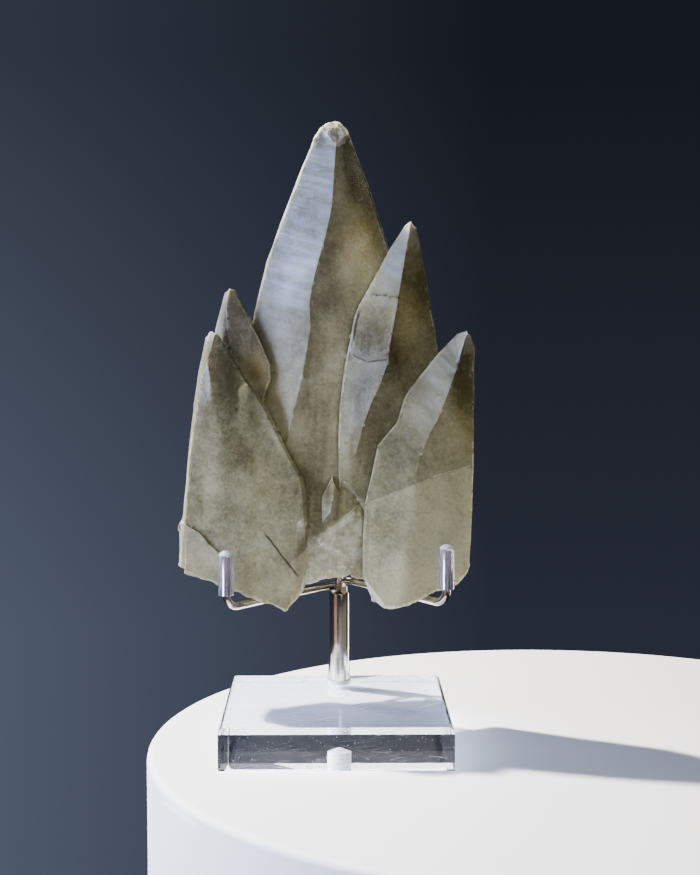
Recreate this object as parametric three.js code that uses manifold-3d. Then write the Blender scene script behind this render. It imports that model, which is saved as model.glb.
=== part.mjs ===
// Calcite cluster resting on an acrylic and steel display stand.
// Millimetres, +Z up, +Y away from the viewer. The origin is the middle of the base's underside.
import * as THREE from 'three';
import { ConvexGeometry } from 'three/addons/geometries/ConvexGeometry.js';
import { mergeVertices } from 'three/addons/utils/BufferGeometryUtils.js';
import Module from 'manifold-3d';

const wasm = await Module();
wasm.setup();

// ---- Driving dimensions -------------------------------------------------------------------------

const INCH = 25.4;
const SEAT = 0.3;                                   // clearance between pieces that touch

const BASE = { side: 2.5 * INCH, height: 11.5, edge: 0.5 };
const POST = { x: 0.95, y: 25.9, radius: INCH / 8, bore: 2.82, top: 38.1, foot: 5.8 };
const HOLE = { radius: POST.radius + SEAT, shoulder: 5.4, tip: 4.2 };
const ROD = { radius: 3 / 64 * INCH, nest: 1.5, foot: 20, bend: 4, sides: 12 };
const CAP = { radius: 2.2, bore: ROD.radius + 0.12, length: 12.8, wall: 1.0 };

// Each hook rises in front of the specimen at x, y. Its rod leaves the tube at height bend and falls
// to height low at the hook.
const HOOKS = {
  left: { x: -31.0, y: -5.2, bend: 40.6, low: 39.2, capBottom: 42.9 },
  right: { x: 31.3, y: -4.3, bend: 42.2, low: 40.0, capBottom: 44.4 },
};
const BACK_CAP_BOTTOM = 80;

// ---- Materials ----------------------------------------------------------------------------------

const finish = (color, roughness, metalness = 0, opacity = 1) =>
  new THREE.MeshStandardMaterial({ color, roughness, metalness, opacity, transparent: opacity < 1 });

const MATERIALS = {
  calcite: () => finish(0x8f917c, 0.35),
  acrylic: () => finish(0xd9dfe4, 0.05, 0, 0.4),
  steel: () => finish(0xb9b7b2, 0.2, 1),
  vinyl: () => finish(0xaab0d8, 0.15, 0, 0.6),
};

// ---- Solids -------------------------------------------------------------------------------------

function toSolid(geometry) {
  const bare = geometry.clone();
  bare.deleteAttribute('normal');
  bare.deleteAttribute('uv');
  const merged = mergeVertices(bare, 1e-4);
  return new wasm.Manifold(new wasm.Mesh({
    numProp: 3,
    vertProperties: new Float32Array(merged.attributes.position.array),
    triVerts: new Uint32Array(merged.index.array),
  }));
}

function toGeometry(solid) {
  const mesh = solid.getMesh();
  const geometry = new THREE.BufferGeometry();
  geometry.setAttribute('position', new THREE.BufferAttribute(mesh.vertProperties, 3));
  geometry.setIndex(new THREE.BufferAttribute(mesh.triVerts, 1));
  const flat = geometry.toNonIndexed();
  flat.computeVertexNormals();
  return flat;
}

const part = new THREE.Group();

function add(name, geometry, material) {
  const mesh = new THREE.Mesh(geometry, material);
  mesh.name = name;
  part.add(mesh);
  return mesh;
}

// A lathe profile of [radius, height] pairs, turned about +Z.
function turned(profile, segments = 32) {
  const geometry = new THREE.LatheGeometry(profile.map(([r, z]) => new THREE.Vector2(r, z)), segments);
  return geometry.rotateX(Math.PI / 2);
}

// ---- Acrylic base -------------------------------------------------------------------------------

function acrylicBase() {
  const half = BASE.side / 2 - BASE.edge;
  const outline = new THREE.Shape();
  outline.moveTo(-half, -half);
  outline.lineTo(half, -half);
  outline.lineTo(half, half);
  outline.lineTo(-half, half);
  outline.closePath();
  const block = new THREE.ExtrudeGeometry(outline, {
    depth: BASE.height - 2 * BASE.edge,
    bevelEnabled: true,
    bevelThickness: BASE.edge,
    bevelSize: BASE.edge,
    bevelSegments: 1,
  }).translate(0, 0, BASE.edge);
  const drill = turned([
    [0, HOLE.tip],
    [HOLE.radius, HOLE.shoulder],
    [HOLE.radius, BASE.height + 1],
    [0, BASE.height + 1],
  ]).translate(POST.x, POST.y, 0);
  return toGeometry(toSolid(block).subtract(toSolid(drill)));
}

// ---- Post, rods and caps ------------------------------------------------------------------------

function postTube() {
  const chamfer = 0.25;
  return turned([
    [POST.bore, POST.foot],
    [POST.radius, POST.foot],
    [POST.radius, POST.top - chamfer],
    [POST.radius - chamfer, POST.top],
    [POST.bore, POST.top],
    [POST.bore, POST.foot],
  ]).translate(POST.x, POST.y, 0);
}

// A rod's centre line through corner points, with every corner rounded. Its stations lie only where
// the line bends, so straight runs cost no faces.
class BentRod extends THREE.Curve {
  constructor(corners, bends, stepsPerBend = 7) {
    super();
    this.stations = [corners[0]];
    for (let i = 1; i < corners.length - 1; i += 1) {
      const before = corners[i - 1].clone().sub(corners[i]).normalize();
      const after = corners[i + 1].clone().sub(corners[i]).normalize();
      const half = before.angleTo(after) / 2;
      const reach = bends[i - 1] / Math.tan(half);
      const middle = corners[i].clone().add(
        before.clone().add(after).normalize().multiplyScalar(bends[i - 1] / Math.sin(half)));
      const start = corners[i].clone().addScaledVector(before, reach);
      const end = corners[i].clone().addScaledVector(after, reach);
      const from = start.clone().sub(middle);
      const to = end.clone().sub(middle);
      const axis = from.clone().cross(to).normalize();
      const sweep = from.angleTo(to);
      for (let k = 0; k <= stepsPerBend; k += 1) {
        const turn = from.clone().applyAxisAngle(axis, sweep * k / stepsPerBend);
        this.stations.push(turn.add(middle));
      }
    }
    this.stations.push(corners[corners.length - 1]);
  }

  get steps() {
    return this.stations.length - 1;
  }

  getPointAt(u) {
    return this.stations[Math.round(u * this.steps)].clone();
  }

  getTangentAt(u) {
    const i = Math.round(u * this.steps);
    const ahead = this.stations[Math.min(i + 1, this.steps)].clone();
    const behind = this.stations[Math.max(i - 1, 0)].clone();
    const to = ahead.sub(this.stations[i]).normalize();
    const from = this.stations[i].clone().sub(behind).normalize();
    return to.add(from).normalize();
  }
}

function rodAlong(path) {
  const section = new THREE.Shape();
  for (let k = 0; k < ROD.sides; k += 1) {
    const angle = 2 * Math.PI * k / ROD.sides;
    const x = ROD.radius * Math.cos(angle);
    const y = ROD.radius * Math.sin(angle);
    if (k === 0) section.moveTo(x, y);
    else section.lineTo(x, y);
  }
  section.closePath();
  return new THREE.ExtrudeGeometry(section, { steps: path.steps, extrudePath: path });
}

// The three rods nest in the tube a third of a turn apart.
function nest(angle) {
  return new THREE.Vector2(
    POST.x + ROD.nest * Math.cos(angle),
    POST.y + ROD.nest * Math.sin(angle));
}

function hookedArm(hook, angle) {
  const root = nest(angle);
  const capTop = hook.capBottom + CAP.length - CAP.wall - SEAT;
  const corners = [
    new THREE.Vector3(root.x, root.y, ROD.foot),
    new THREE.Vector3(root.x, root.y, hook.bend),
    new THREE.Vector3(hook.x, hook.y, hook.low),
    new THREE.Vector3(hook.x, hook.y, capTop),
  ];
  return rodAlong(new BentRod(corners, [2.2, ROD.bend]));
}

function backRod() {
  const root = nest(Math.PI / 2);
  const capTop = BACK_CAP_BOTTOM + CAP.length - CAP.wall - SEAT;
  return rodAlong(new BentRod([
    new THREE.Vector3(root.x, root.y, ROD.foot),
    new THREE.Vector3(root.x, root.y, 60),
    new THREE.Vector3(root.x, root.y, capTop),
  ], [1], 1));
}

// A vinyl cap: a tube with a rounded closed top.
function vinylCap(x, y, bottom) {
  const profile = [[CAP.bore, bottom], [CAP.radius, bottom]];
  const shoulder = bottom + CAP.length - CAP.radius;
  for (let k = 0; k <= 6; k += 1) {
    const angle = Math.PI / 2 * k / 6;
    profile.push([CAP.radius * Math.cos(angle), shoulder + CAP.radius * Math.sin(angle)]);
  }
  profile[profile.length - 1][0] = 0;
  const ceiling = bottom + CAP.length - CAP.wall;
  profile.push([0, ceiling], [CAP.bore, ceiling], [CAP.bore, bottom]);
  return turned(profile, 24).translate(x, y, 0);
}

// ---- Calcite crystals ---------------------------------------------------------------------------

// Every blade is a tapering crystal with flat sides. Its front edges run from the root up to the tip,
// left to right, as [height, x, y]. Three back edges follow from the width: side is the thickness of
// the narrow side facets and bulge the depth of the back ridge, both as shares of the local width.
// flare is how far the left and the right side facet lean out behind the front edge.
const ROOT = 34;

const CRYSTALS = {
  tall: {
    side: 0.1, bulge: 0.15, flare: [0.7, 0.7],
    edges: [
      [[ROOT, -30, 8], [100, -27.5, 8.5], [122.6, -23.7, 8.5], [136.3, -20.3, 9], [149.6, -15.5, 9.5],
        [163.2, -10.1, 10.3], [173.2, -5.8, 11], [178, -3, 11.6]],
      [[ROOT, -22, 1], [89.6, -13.2, 1.3], [104.5, -9.5, 2.2], [118, -7.2, 3], [124.9, -7.5, 3.4],
        [132.3, -6.2, 4], [145, -2.7, 5.5], [152.6, -1.1, 6.6], [178, 0.6, 10.6]],
      [[ROOT, 6, 1.5], [75, 5, 2], [95, 6, 4.2], [115, 8, 6.6], [140, 5.6, 7.7], [155, 4, 8.8],
        [178, 1.6, 11]],
      [[ROOT, 28, 11], [80, 28, 11], [110, 24, 11], [140.9, 15.5, 10.8], [149.6, 12.6, 10.9],
        [158.8, 9.6, 11], [166.2, 6.7, 11.1], [171.2, 4.8, 11.3], [178, 2.4, 11.6]],
    ],
  },
  second: {
    side: 0.28, bulge: 0.34, flare: [0, 0.7],
    edges: [
      [[ROOT, 6, 8], [66, 2, 4.4], [75.6, 0.8, 0.9], [86.4, 0.7, 1.4], [96, 1.1, 2.2], [106.6, 2.4, 3],
        [115.2, 4.2, 3.6], [120.2, 5.0, 3.9], [124.5, 6.6, 4.2], [134.7, 12.4, 5.2], [140.3, 15.4, 6],
        [147.2, 19.8, 7]],
      [[ROOT, 9, 8], [66, 4, 4.6], [75.6, 2.2, 0.7], [81.9, 5.4, -0.6], [91.2, 7.9, -1.4],
        [97, 10.0, -1.8], [102.4, 12.6, -1.8], [109.2, 14.9, -1.2], [114.4, 15.2, -0.6],
        [119.2, 16.4, 0.3], [131.6, 18.5, 2.4], [148.3, 21.4, 6.4]],
      [[ROOT, 36, 8], [90, 35, 6], [111.2, 30, 6.6], [123.9, 27.8, 7], [135.7, 25.5, 7.2],
        [146.6, 23.2, 7.5]],
    ],
  },
  right: {
    side: 0.3, bulge: 0.32, flare: [0, 0.8],
    edges: [
      [[ROOT, 12, 2], [43.3, 9.3, 0.4], [47.6, 7.7, -0.8], [60.9, 7.9, -1.4], [69.1, 8.4, -1.5],
        [77, 10.2, -1.4], [84.9, 11.8, -1.2], [91.2, 17.2, -0.7], [98.8, 19.6, -0.2],
        [104.7, 24.1, 0.4], [110.9, 29.3, 1.3], [116.4, 34.6, 2.4]],
      [[ROOT, 18, -2.6], [50, 19.6, -4.2], [66, 21.2, -4.4], [76.8, 22.5, -4.4], [82.2, 23.8, -4.2],
        [88.8, 26.5, -3.8], [92.2, 28.6, -3.4], [99.8, 31.6, -2.2], [106.3, 34.0, -0.9],
        [117.3, 37.2, 1.8]],
      [[ROOT, 38, -0.3], [47.6, 38.5, -0.2], [56.6, 39.2, 0], [79, 40, 0.8], [112.8, 39.8, 2.6],
        [116.3, 38.3, 3]],
    ],
  },
  backLeft: {
    side: 0.35, bulge: 0.3, flare: [0.6, 0.4],
    edges: [
      [[ROOT, -36, 10], [90, -38, 10], [117.3, -35.1, 9.6], [128.2, -32, 9.2]],
      [[ROOT, -26, 3], [97, -27.5, 2.6], [112.5, -30.4, 4], [119, -30.8, 5], [124, -31.2, 6],
        [129.2, -30.4, 7.6]],
      [[ROOT, -20, 4], [96.7, -20.4, 3.4], [100, -19.5, 3.4], [103.6, -18.2, 3.6],
        [107.6, -18.4, 4], [113.9, -21.1, 5], [121, -24.5, 6.2], [128.8, -29, 8]],
    ],
  },
  left: {
    side: 0.3, bulge: 0.3, flare: [0.5, 0],
    edges: [
      [[ROOT, -44.2, 3.6], [62.4, -44.6, 3.6], [80.5, -42.9, 3.8], [95.6, -41.2, 4],
        [104.1, -39.8, 4.2], [115.4, -37.2, 4.8]],
      [[ROOT, -42.8, -0.4], [62.4, -43, -0.4], [82.4, -41.3, -0.3], [93, -39.8, 0.1],
        [104.9, -37.8, 1], [116.9, -35.8, 4]],
      [[ROOT, -31, -2.1], [86, -32.5, -1.9], [97.8, -34.8, -1.1], [109, -36.2, 0.6],
        [117.2, -34.6, 3.5]],
      [[ROOT, -10.6, -1.7], [52, -9.8, -1.7], [62.2, -9.2, -1.7], [70.9, -9.6, -1.7],
        [75.8, -10.4, -1.6], [81.2, -13.6, -1.5], [90.1, -17.9, -1.4], [96, -20.8, -1.2],
        [101.5, -24.6, -0.7], [107.6, -28.4, 0.5], [116.6, -34.2, 3]],
      [[ROOT, -9.3, -0.8], [52, -8.6, -0.8], [62.2, -8.1, -0.8], [70.9, -8.4, -0.8],
        [75.8, -9.3, -0.8], [81.2, -12.6, -0.7], [90.1, -16.9, -0.6], [96, -19.9, -0.4],
        [101.5, -23.8, 0.1], [107.6, -27.7, 1.2], [116.2, -33.5, 3.4]],
    ],
  },
};

// The place of an edge at a height, as [x, y].
function along(edge, height) {
  const upper = edge.findIndex(([z]) => z >= height);
  const k = upper === -1 ? edge.length - 1 : Math.max(1, upper);
  const [z0, x0, y0] = edge[k - 1];
  const [z1, x1, y1] = edge[k];
  const t = Math.min(1, Math.max(0, (height - z0) / (z1 - z0)));
  return [x0 + (x1 - x0) * t, y0 + (y1 - y0) * t];
}

// All the edges of a blade, anticlockwise seen from above, as lists of [x, y, z].
function bladeEdges({ side, bulge, flare, edges }) {
  const left = edges[0];
  const right = edges[edges.length - 1];
  const top = Math.min(left[left.length - 1][0], right[right.length - 1][0]);
  const widthAt = (z) => along(right, z)[0] - along(left, z)[0];
  const placed = (edge, shift) => edge.map(([z, x, y]) => [x + shift, y, z]);
  const sideEdge = (edge, lean) =>
    edge.map(([z, x, y]) => [x - lean * 0.2, y + side * widthAt(Math.min(z, top)), z]);
  const spine = [ROOT, 80, 100, 120, 140, 160].filter((z) => z < top - 8).concat(top).map((z) => {
    const [leftX, leftY] = along(left, z);
    const [rightX, rightY] = along(right, z);
    return [(leftX + rightX) / 2, (leftY + rightY) / 2 + (side + bulge) * widthAt(z), z];
  });
  return [
    placed(left, flare[0]),
    ...edges.slice(1, -1).map((edge) => placed(edge, 0)),
    placed(right, -flare[1]),
    sideEdge(right, flare[1]),
    spine,
    sideEdge(left, -flare[0]),
  ];
}

// Closed solid between edges that all run from the root to the tip: one facet between each edge and
// the next, laced from the bottom up, and a fan over each end.
function laced(lines) {
  const points = lines.flat();
  const starts = lines.map((line, i) => lines.slice(0, i).flat().length);
  const faces = [];
  const mean = (ends) => [0, 1, 2].map((k) => ends.reduce((sum, p) => sum + p[k], 0) / ends.length);
  const bottom = points.push(mean(lines.map((line) => line[0]))) - 1;
  const top = points.push(mean(lines.map((line) => line[line.length - 1]))) - 1;
  lines.forEach((line, i) => {
    const j = (i + 1) % lines.length;
    const next = lines[j];
    let a = 0;
    let b = 0;
    while (a < line.length - 1 || b < next.length - 1) {
      const climbA = a < line.length - 1 ? line[a + 1][2] : Infinity;
      const climbB = b < next.length - 1 ? next[b + 1][2] : Infinity;
      if (climbA < climbB) {
        faces.push(starts[i] + a, starts[j] + b, starts[i] + a + 1);
        a += 1;
      } else {
        faces.push(starts[i] + a, starts[j] + b, starts[j] + b + 1);
        b += 1;
      }
    }
    faces.push(bottom, starts[j], starts[i], top, starts[i] + a, starts[j] + b);
  });
  const geometry = new THREE.BufferGeometry();
  geometry.setAttribute('position', new THREE.Float32BufferAttribute(points.flat(), 3));
  geometry.setIndex(faces);
  return geometry;
}

function blade(crystal) {
  return toSolid(laced(bladeEdges(crystal)));
}

// A prism whose front follows a blade's front faces, standing proud of them by lift and depth deep.
// Its outline is a list of [x, z], anticlockwise seen from the front.
function growthPlate(crystal, outline, lift, depth = 3) {
  const surfaceY = (x, z) => {
    const front = crystal.edges.map((edge) => along(edge, z));
    const right = front.findIndex(([edgeX]) => edgeX >= x);
    const k = right === -1 ? front.length - 1 : Math.max(1, right);
    const [x0, y0] = front[k - 1];
    const [x1, y1] = front[k];
    return y0 + (y1 - y0) * Math.min(1, Math.max(0, (x - x0) / (x1 - x0)));
  };
  const front = outline.map(([x, z]) => [x, surfaceY(x, z) - lift, z]);
  const back = front.map(([x, y, z]) => [x, y + lift + depth, z]);
  const count = outline.length;
  const faces = [];
  THREE.ShapeUtils.triangulateShape(outline.map(([x, z]) => new THREE.Vector2(x, z)), [])
    .forEach(([a, b, c]) => faces.push(a, b, c, count + a, count + c, count + b));
  for (let i = 0; i < count; i += 1) {
    const next = (i + 1) % count;
    faces.push(i, count + i, count + next, i, count + next, next);
  }
  const geometry = new THREE.BufferGeometry();
  geometry.setAttribute('position', new THREE.Float32BufferAttribute([...front, ...back].flat(), 3));
  geometry.setIndex(faces);
  return toSolid(geometry);
}

function hull(points) {
  return toSolid(new ConvexGeometry(points.map(([x, y, z]) => new THREE.Vector3(x, y, z))));
}

// The removed side of a break: a large block whose face lies on the plane through three points, on
// the side where those points run anticlockwise.
function beyond(a, b, c) {
  const reach = 120;
  const plane = new THREE.Plane().setFromCoplanarPoints(
    new THREE.Vector3(...a), new THREE.Vector3(...b), new THREE.Vector3(...c));
  const block = new THREE.BoxGeometry(2 * reach, 2 * reach, reach).translate(0, 0, reach / 2);
  const turn = new THREE.Quaternion().setFromUnitVectors(new THREE.Vector3(0, 0, 1), plane.normal);
  block.applyQuaternion(turn);
  return toSolid(block.translate(...a));
}

// The specimen's foot as it was broken: the lower outline from left to right as [x, z] at y = 0. The
// break climbs towards the back, where the stand's arms pass under it.
const FOOT_LINE = [
  [-60, 51], [-44.6, 49.3], [-33.5, 45.8], [-28.5, 44], [-24.8, 42.4], [-19, 40.4], [-14.6, 38.2],
  [-12.9, 38.6], [-9.2, 42.6], [-2.9, 43.7], [4.8, 44.3], [9.3, 42.8], [10.6, 40.2], [13.8, 39],
  [17.5, 39.6], [22.4, 40.9], [24.5, 42.2], [29.7, 43.9], [34.1, 45.4], [38.2, 49.2], [60, 60],
];
const FOOT_CLIMB = 0.28;

function belowFoot() {
  const depth = 80;
  const shape = new THREE.Shape();
  shape.moveTo(-60, 0);
  shape.lineTo(60, 0);
  [...FOOT_LINE].reverse().forEach(([x, z]) => shape.lineTo(x, z));
  shape.closePath();
  const block = new THREE.ExtrudeGeometry(shape, { depth, bevelEnabled: false });
  block.rotateX(Math.PI / 2).translate(0, depth / 2, 0);
  const climb = new THREE.Matrix4().set(1, 0, 0, 0, 0, 1, 0, 0, 0, FOOT_CLIMB, 1, 0, 0, 0, 0, 1);
  return toSolid(block.applyMatrix4(climb));
}

// The tall crystal's tip is knocked off: a scoop in front and two chips at its sides.
function brokenTip(crystal) {
  return crystal
    .subtract(beyond([-4, 9.8, 172.4], [4, 10.2, 170.6], [0.5, 13.4, 178.4]))
    .subtract(beyond([-6, 8, 172.8], [-4, 8, 174.6], [-4.6, 16, 175.4]))
    .subtract(beyond([-4, 8, 175.4], [-0.6, 8, 177.2], [-0.6, 16, 177.4]))
    .subtract(beyond([1.8, 8, 177], [3.4, 8, 174.6], [2.8, 16, 176]));
}

function calciteCluster() {
  const { tall, second, right, backLeft, left } = CRYSTALS;
  const brokenFace = beyond([-12.8, 1, 52.1], [4, 9, 44], [7.8, 1, 68.3]);
  let cluster = brokenTip(blade(tall)).subtract(brokenFace);
  [second, right, backLeft, left].forEach((crystal) => {
    cluster = cluster.add(blade(crystal));
  });
  const footBlock = growthPlate(left, [[-45.2, 44], [-31, 40], [-31.6, 53.4], [-33.1, 54.4],
    [-36.7, 57.6], [-38.5, 60], [-43, 62.6], [-44.6, 62.6], [-45.2, 61.4]], 0.6, 14);
  const patch = growthPlate(second, [[4.9, 112.4], [6.5, 110.6], [9.3, 109.4], [12.4, 109.8],
    [14.9, 111.6], [16.4, 119.2], [17.6, 126.5], [10, 127.5], [6.4, 123], [5, 118]], 0.45);
  const smallCrystal = hull([[-1.1, 0.6, 75.9], [-4, 0.9, 70], [-4, 1, 62.6], [-1.6, -0.3, 66],
    [-0.4, 0.1, 73.6], [1.2, 1.6, 71], [-1.1, 6, 75.9], [-4, 7, 60], [4, 7, 60], [3, 7, 68]]);
  cluster = cluster.add(footBlock).add(patch).add(smallCrystal);
  return toGeometry(cluster.subtract(belowFoot()));
}

// ---- The part -----------------------------------------------------------------------------------

add('acrylic_base', acrylicBase(), MATERIALS.acrylic());
add('post', postTube(), MATERIALS.steel());
add('left_arm', hookedArm(HOOKS.left, -5 / 6 * Math.PI), MATERIALS.steel());
add('right_arm', hookedArm(HOOKS.right, -1 / 6 * Math.PI), MATERIALS.steel());
add('back_rod', backRod(), MATERIALS.steel());
add('left_tip', vinylCap(HOOKS.left.x, HOOKS.left.y, HOOKS.left.capBottom), MATERIALS.vinyl());
add('right_tip', vinylCap(HOOKS.right.x, HOOKS.right.y, HOOKS.right.capBottom), MATERIALS.vinyl());
add('back_tip', vinylCap(POST.x, POST.y + ROD.nest, BACK_CAP_BOTTOM), MATERIALS.vinyl());
add('calcite_cluster', calciteCluster(), MATERIALS.calcite());

export default part;
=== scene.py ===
# %% [markdown]
# # Calcite cluster on an acrylic and steel stand
#
# A natural cluster of dogtooth calcite crystals rests in a small display stand: a clear acrylic
# block, a steel tube, three bent steel rods and their soft vinyl caps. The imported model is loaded
# first. It fixes every size and place, so each piece below is modelled around it, in metres.

# %% Load the frame
import math
from functools import partial
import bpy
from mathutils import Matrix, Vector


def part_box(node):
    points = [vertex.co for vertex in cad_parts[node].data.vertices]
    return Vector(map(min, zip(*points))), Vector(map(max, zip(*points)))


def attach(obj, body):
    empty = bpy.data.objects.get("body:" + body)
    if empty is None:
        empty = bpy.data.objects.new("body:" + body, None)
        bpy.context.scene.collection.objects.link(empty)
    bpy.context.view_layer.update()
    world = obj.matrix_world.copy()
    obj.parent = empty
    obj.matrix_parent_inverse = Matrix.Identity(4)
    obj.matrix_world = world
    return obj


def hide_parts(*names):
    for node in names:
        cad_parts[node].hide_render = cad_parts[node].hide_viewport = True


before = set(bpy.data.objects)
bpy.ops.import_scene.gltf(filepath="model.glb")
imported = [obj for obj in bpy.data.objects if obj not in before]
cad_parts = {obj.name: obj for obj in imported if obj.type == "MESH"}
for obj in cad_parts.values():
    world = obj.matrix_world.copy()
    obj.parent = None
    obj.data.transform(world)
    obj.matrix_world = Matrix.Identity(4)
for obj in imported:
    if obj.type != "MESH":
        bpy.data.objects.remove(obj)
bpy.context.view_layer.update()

from types import SimpleNamespace

import bpy
import numpy as np
from mathutils import Vector

MM = 0.001
print("CAD nodes:", sorted(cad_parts))

# %% [markdown]
# The camera stands in front of the crystals, a little above their middle, as someone who looks at
# the specimen on a shelf would. A 64 mm lens keeps the tall crystals upright. It is made first, so
# that every later look at the scene is from the same place.

# %% Camera
CAMERA_PLACE = (-0.00106, -0.4395, 0.1218)
CAMERA_PITCH_DOWN = 0.0788
CAMERA_YAW_RIGHT = 0.0115
bpy.ops.object.camera_add(
    location=CAMERA_PLACE,
    rotation=(math.pi / 2 - CAMERA_PITCH_DOWN, 0, -CAMERA_YAW_RIGHT))
camera = bpy.context.object
camera.data.lens = 63.98
camera.data.sensor_width = 36
camera.data.clip_start = 0.01
bpy.context.scene.camera = camera
print("camera at", tuple(camera.location))

# %% [markdown]
# A few helpers. Modelling operators act on whatever is selected, so `only` leaves one object
# selected, and `select_parts` and `pick` leave a piece in edit mode with some of its parts selected.
# `finish` empties the object's transform into its mesh, so that it sits at the origin as the CAD nodes
# do, and says which node the piece stands for.

# %% Modelling helpers
def only(piece):
    bpy.ops.object.select_all(action="DESELECT")
    piece.select_set(True)
    bpy.context.view_layer.objects.active = piece


def parts_of(piece, mode):
    mesh = piece.data
    return {"VERT": mesh.vertices, "EDGE": mesh.edges, "FACE": mesh.polygons}[mode]


def select_parts(piece, mode, mask):
    """Selects the vertices, edges or faces (mode VERT, EDGE or FACE) of the mask."""
    only(piece)
    bpy.ops.object.mode_set(mode="EDIT")
    bpy.ops.mesh.select_mode(type=mode)
    bpy.ops.mesh.select_all(action="DESELECT")
    bpy.ops.object.mode_set(mode="OBJECT")
    parts_of(piece, mode).foreach_set("select", mask)
    bpy.ops.object.mode_set(mode="EDIT")


def pick(piece, mode, test):
    """Selects the parts that pass the test."""
    select_parts(piece, mode, [bool(test(part)) for part in parts_of(piece, mode)])


def apply_modifier(piece, kind, **settings):
    only(piece)
    modifier = piece.modifiers.new(kind.lower(), kind)
    for name, value in settings.items():
        setattr(modifier, name, value)
    bpy.ops.object.modifier_apply(modifier=modifier.name)


def tidy_mesh(piece):
    only(piece)
    bpy.ops.object.mode_set(mode="EDIT")
    bpy.ops.mesh.select_all(action="SELECT")
    bpy.ops.mesh.remove_doubles(threshold=1e-7)
    bpy.ops.mesh.normals_make_consistent(inside=False)
    bpy.ops.object.mode_set(mode="OBJECT")


def smooth_by_angle(piece, degrees):
    only(piece)
    bpy.ops.object.shade_smooth_by_angle(angle=math.radians(degrees))


def finish(piece, node_name):
    only(piece)
    bpy.ops.object.transform_apply(location=True, rotation=True, scale=True)
    piece.name = node_name + "_finished"
    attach(piece, "root")
    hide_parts(node_name)
    size = [round(v / MM, 1) for v in piece.dimensions]
    print(f"{piece.name}: {len(piece.data.polygons)} faces, {size} mm")


# %% [markdown]
# Materials are built from shader nodes, and one small function adds them all. A node's inputs are
# given in their order, or as one dict of their names. Each is a plain value, another node, which
# stands for its first output, or one of a node's outputs. `partial(node, tree)` then gives each
# material its own short `add`.

# %% Material helpers
def linear(hex_colour):
    """An sRGB hex colour as linear RGBA."""
    values = [int(hex_colour[i:i + 2], 16) / 255 for i in (1, 3, 5)]
    return [v / 12.92 if v <= 0.04045 else ((v + 0.055) / 1.055) ** 2.4 for v in values] + [1.0]


def new_material(name):
    material = bpy.data.materials.new(name)
    material.use_nodes = True
    material.node_tree.nodes.clear()
    return material


def node(tree, kind, *inputs, **settings):
    made = tree.nodes.new("ShaderNode" + kind)
    for name, value in settings.items():
        setattr(made, name, value)
    named = inputs[0] if inputs and isinstance(inputs[0], dict) else dict(enumerate(inputs))
    for name, value in named.items():
        if isinstance(value, bpy.types.Node):
            value = value.outputs[0]
        if isinstance(value, bpy.types.NodeSocket):
            tree.links.new(value, made.inputs[name])
        else:
            made.inputs[name].default_value = value
    return made


# %% [markdown]
# ## The acrylic block
#
# The foot of the stand is a square of clear cast acrylic, saw-cut and polished, with one blind hole
# drilled from the top for the post. It could be the CAD solid with a new material, but its polished
# edges are what catch the light, so the block is modelled again: a cube, its top edges bevelled,
# and a drill-shaped cutter taken out of it. Along the front and back the top edge is one flat
# chamfer, which shows as a bright band. Along the sides it is rounded, and the other edges are only
# broken. The drill leaves a frosted white wall and a pointed floor, which show through the block.

# %% Block and its drilled hole
BASE_LOW, BASE_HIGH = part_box("acrylic_base")
POST_LOW, POST_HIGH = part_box("post")
POST_AXIS = ((POST_LOW + POST_HIGH) / 2).xy
POST_RADIUS = (POST_HIGH.x - POST_LOW.x) / 2
HOLE_RADIUS = POST_RADIUS + 0.3 * MM
HOLE_SHOULDER = 5.4 * MM
HOLE_TIP = 4.2 * MM
TOP_EDGE = 1.5 * MM
BROKEN_EDGE = 0.4 * MM


def drill_cutter():
    height = BASE_HIGH.z + 2 * MM - HOLE_SHOULDER
    bpy.ops.mesh.primitive_cylinder_add(
        vertices=64, radius=HOLE_RADIUS, depth=height,
        location=(*POST_AXIS, HOLE_SHOULDER + height / 2))
    cutter = bpy.context.object
    bpy.ops.object.transform_apply(location=True)
    pick(cutter, "FACE", lambda f: f.normal.z < -0.9)
    bpy.ops.mesh.inset(thickness=HOLE_RADIUS * 0.9)
    bpy.ops.transform.translate(value=(0, 0, HOLE_TIP - HOLE_SHOULDER))
    bpy.ops.object.mode_set(mode="OBJECT")
    return cutter


def ends_top(block, edge, axis):
    """Whether an edge bounds the top face at one of its ends along that axis."""
    one, two = (block.data.vertices[i].co for i in edge.vertices)
    on_top = min(one.z, two.z) > BASE_HIGH.z - 1e-6
    return on_top and abs(one[axis] - two[axis]) < 1e-6


def acrylic_block():
    cutter = drill_cutter()
    centre = (BASE_LOW + BASE_HIGH) / 2
    bpy.ops.mesh.primitive_cube_add(size=1, location=centre, scale=BASE_HIGH - BASE_LOW)
    block = bpy.context.object
    bpy.ops.object.transform_apply(location=True, scale=True)
    for axis, segments in ((1, 1), (0, 5)):
        pick(block, "EDGE", lambda e: ends_top(block, e, axis))
        bpy.ops.mesh.bevel(offset=TOP_EDGE, segments=segments, profile=0.5, affect="EDGES")
        bpy.ops.object.mode_set(mode="OBJECT")
    apply_modifier(block, "BEVEL", width=BROKEN_EDGE, segments=3, limit_method="ANGLE",
                   angle_limit=math.radians(60))
    apply_modifier(block, "BOOLEAN", operation="DIFFERENCE", object=cutter, solver="EXACT")
    bpy.data.objects.remove(cutter)
    tidy_mesh(block)
    return block


block = acrylic_block()
print("block:", len(block.data.polygons), "faces")

# %% [markdown]
# Cast acrylic is colourless, with an index of 1.49. A block that has been handled has hairline
# scratches: here three stretched noises, each about 0.3 mm across and 26 mm long and each turned
# another way, of which only the highest crests show. They dull the gloss and bend it a little. The
# drilled wall is ground plastic: rough, white and nearly opaque, with rings left by the drill.

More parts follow.
